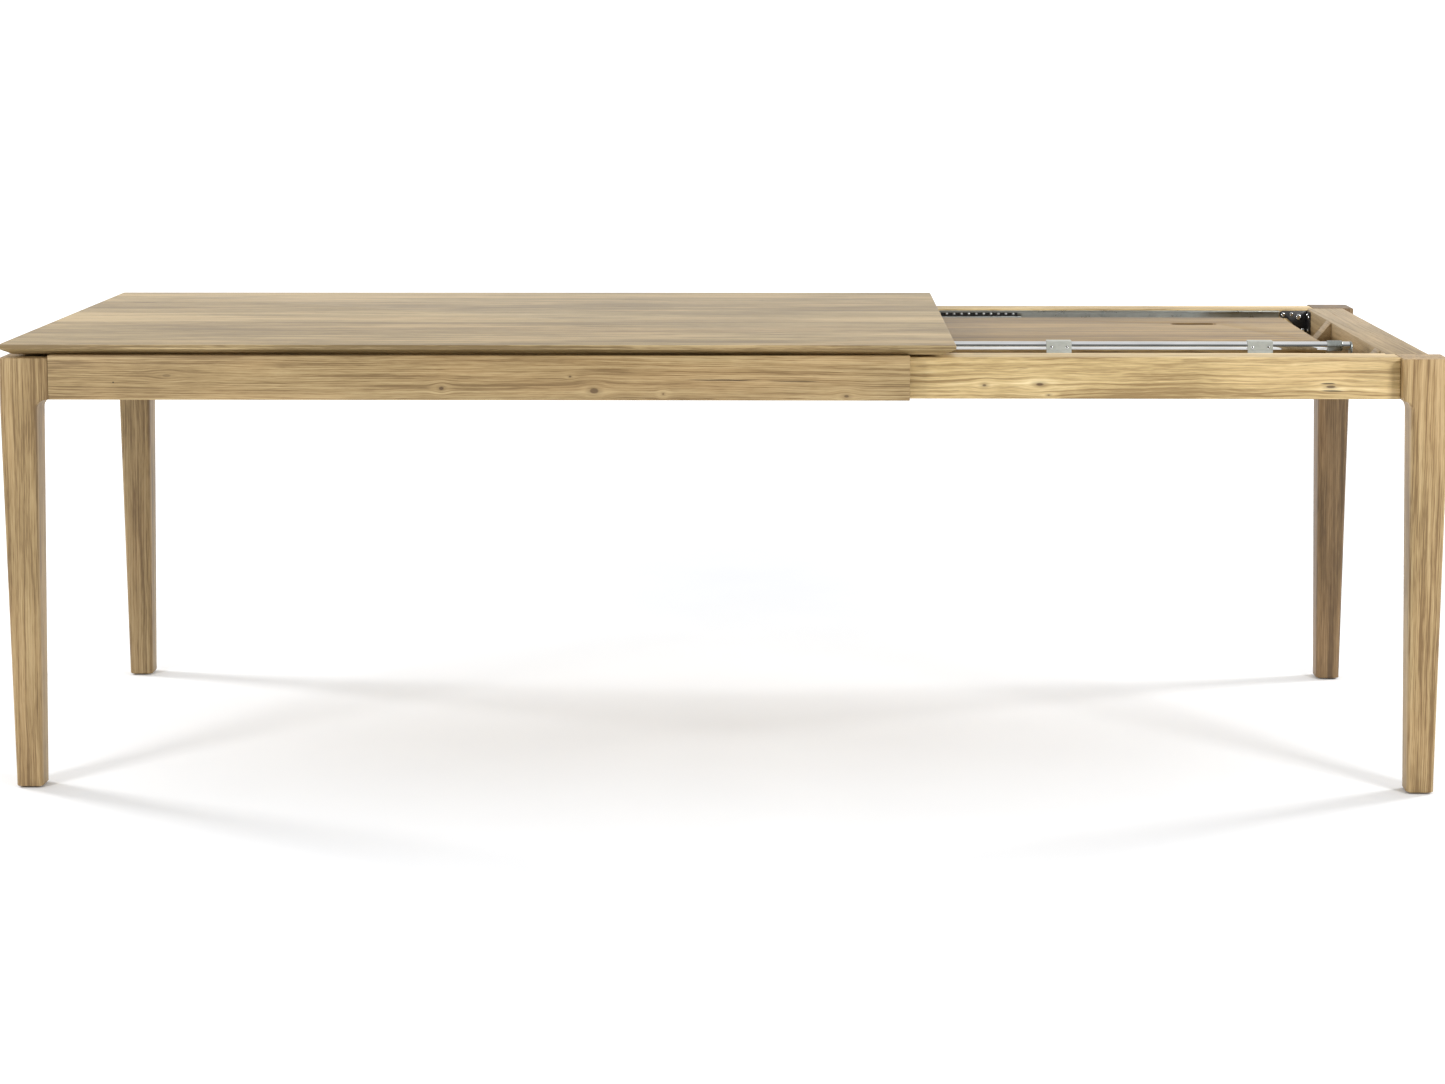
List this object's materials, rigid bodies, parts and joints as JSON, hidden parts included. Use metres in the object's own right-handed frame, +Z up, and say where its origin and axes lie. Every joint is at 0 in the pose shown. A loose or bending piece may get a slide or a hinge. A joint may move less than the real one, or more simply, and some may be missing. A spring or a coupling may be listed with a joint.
{
  "type": "extendable dining table",
  "caption": "Oak dining table that pulls out on ball slides: a bevelled top on a fixed frame, a moving frame with two tapered legs, and a folded leaf stored on a guide tube.",
  "frame": {"origin": "on the floor under the middle of the open table", "axes": "+X towards the end that pulls out, +Y towards the far long side, +Z up"},
  "size_m": [2.415, 0.9, 0.76],
  "materials": {
    "oak_top": "oiled, satin",
    "oak_legs": "oiled, satin",
    "oak_frame": "oiled, satin",
    "oak_leaf": "oiled, satin",
    "inner_timber": "unfinished, planed",
    "zinc_steel": "zinc plated",
    "chrome": "polished",
    "black_steel": "black powder coat",
    "black_plastic": "moulded",
    "clip_plastic": "moulded, light grey",
    "glide_plastic": "moulded, off-white"
  },
  "bodies": {
    "base": {"apron_far": "oak_frame", "apron_left_end": "oak_frame", "apron_near": "oak_frame", "corner_block_far": "inner_timber", "corner_block_near": "inner_timber", "glide_left_far": "glide_plastic", "glide_left_near": "glide_plastic", "leg_left_far": "oak_legs", "leg_left_near": "oak_legs", "leg_nut_far": "zinc_steel", "leg_nut_near": "zinc_steel", "slide_bearer_far": "inner_timber", "slide_bearer_near": "inner_timber", "slide_fixed_far": "zinc_steel", "slide_fixed_near": "zinc_steel", "tabletop": "oak_top", "top_batten_left": "inner_timber", "top_batten_right": "inner_timber"},
    "extension": {"corner_bracket_bolt_far": "chrome", "corner_bracket_bolt_near": "chrome", "corner_bracket_far": "black_steel", "corner_bracket_near": "black_steel", "cross_rail": "inner_timber", "end_gusset_far": "oak_frame", "end_gusset_near": "oak_frame", "end_rail": "oak_frame", "glide_right_far": "glide_plastic", "glide_right_near": "glide_plastic", "guide_tube": "chrome", "leaf_carrier_left": "inner_timber", "leaf_carrier_right": "inner_timber", "leg_right_far": "oak_legs", "leg_right_near": "oak_legs", "rail_far": "oak_frame", "rail_near": "oak_frame", "slide_moving_far": "zinc_steel", "slide_moving_near": "zinc_steel", "tube_bracket_bar": "inner_timber", "tube_bracket_left": "zinc_steel", "tube_bracket_right": "zinc_steel", "tube_sleeve": "zinc_steel"},
    "leaf": {"leaf_clip_left": "clip_plastic", "leaf_clip_left_screw_left": "chrome", "leaf_clip_left_screw_right": "chrome", "leaf_clip_right": "clip_plastic", "leaf_clip_right_screw_left": "chrome", "leaf_clip_right_screw_right": "chrome", "leaf_hinge_left": "zinc_steel", "leaf_hinge_right": "zinc_steel", "leaf_lower": "oak_leaf", "leaf_upper": "oak_leaf"},
    "slide_middle_near": {"slide_middle_near": "zinc_steel"},
    "cage_outer_near": {"ball_cage_outer_near": "black_plastic"},
    "cage_inner_near": {"ball_cage_inner_near": "black_plastic"},
    "slide_middle_far": {"slide_middle_far": "zinc_steel"},
    "cage_outer_far": {"ball_cage_outer_far": "black_plastic"},
    "cage_inner_far": {"ball_cage_inner_far": "black_plastic"}
  },
  "joints": [
    {"name": "extension_slide", "type": "slide", "parent": "base", "child": "extension", "axis": [1, 0, 0], "range_m": [-0.815, 0]},
    {"name": "leaf_slide", "type": "slide", "parent": "extension", "child": "leaf", "axis": [1, 0, 0], "range_m": [-0.45, 0]},
    {"name": "middle_slide_near", "type": "slide", "parent": "base", "child": "slide_middle_near", "axis": [1, 0, 0], "range_m": [-0.4075, 0]},
    {"name": "middle_slide_far", "type": "slide", "parent": "base", "child": "slide_middle_far", "axis": [1, 0, 0], "range_m": [-0.4075, 0]},
    {"name": "outer_cage_slide_near", "type": "slide", "parent": "base", "child": "cage_outer_near", "axis": [1, 0, 0], "range_m": [-0.61125, 0]},
    {"name": "outer_cage_slide_far", "type": "slide", "parent": "base", "child": "cage_outer_far", "axis": [1, 0, 0], "range_m": [-0.61125, 0]},
    {"name": "inner_cage_slide_near", "type": "slide", "parent": "base", "child": "cage_inner_near", "axis": [1, 0, 0], "range_m": [-0.20375, 0]},
    {"name": "inner_cage_slide_far", "type": "slide", "parent": "base", "child": "cage_inner_far", "axis": [1, 0, 0], "range_m": [-0.20375, 0]}
  ],
  "couplings": [
    {"joint": "middle_slide_near", "follows": "extension_slide", "ratio": 0.5},
    {"joint": "middle_slide_far", "follows": "extension_slide", "ratio": 0.5},
    {"joint": "outer_cage_slide_near", "follows": "extension_slide", "ratio": 0.75},
    {"joint": "outer_cage_slide_far", "follows": "extension_slide", "ratio": 0.75},
    {"joint": "inner_cage_slide_near", "follows": "extension_slide", "ratio": 0.25},
    {"joint": "inner_cage_slide_far", "follows": "extension_slide", "ratio": 0.25}
  ]
}
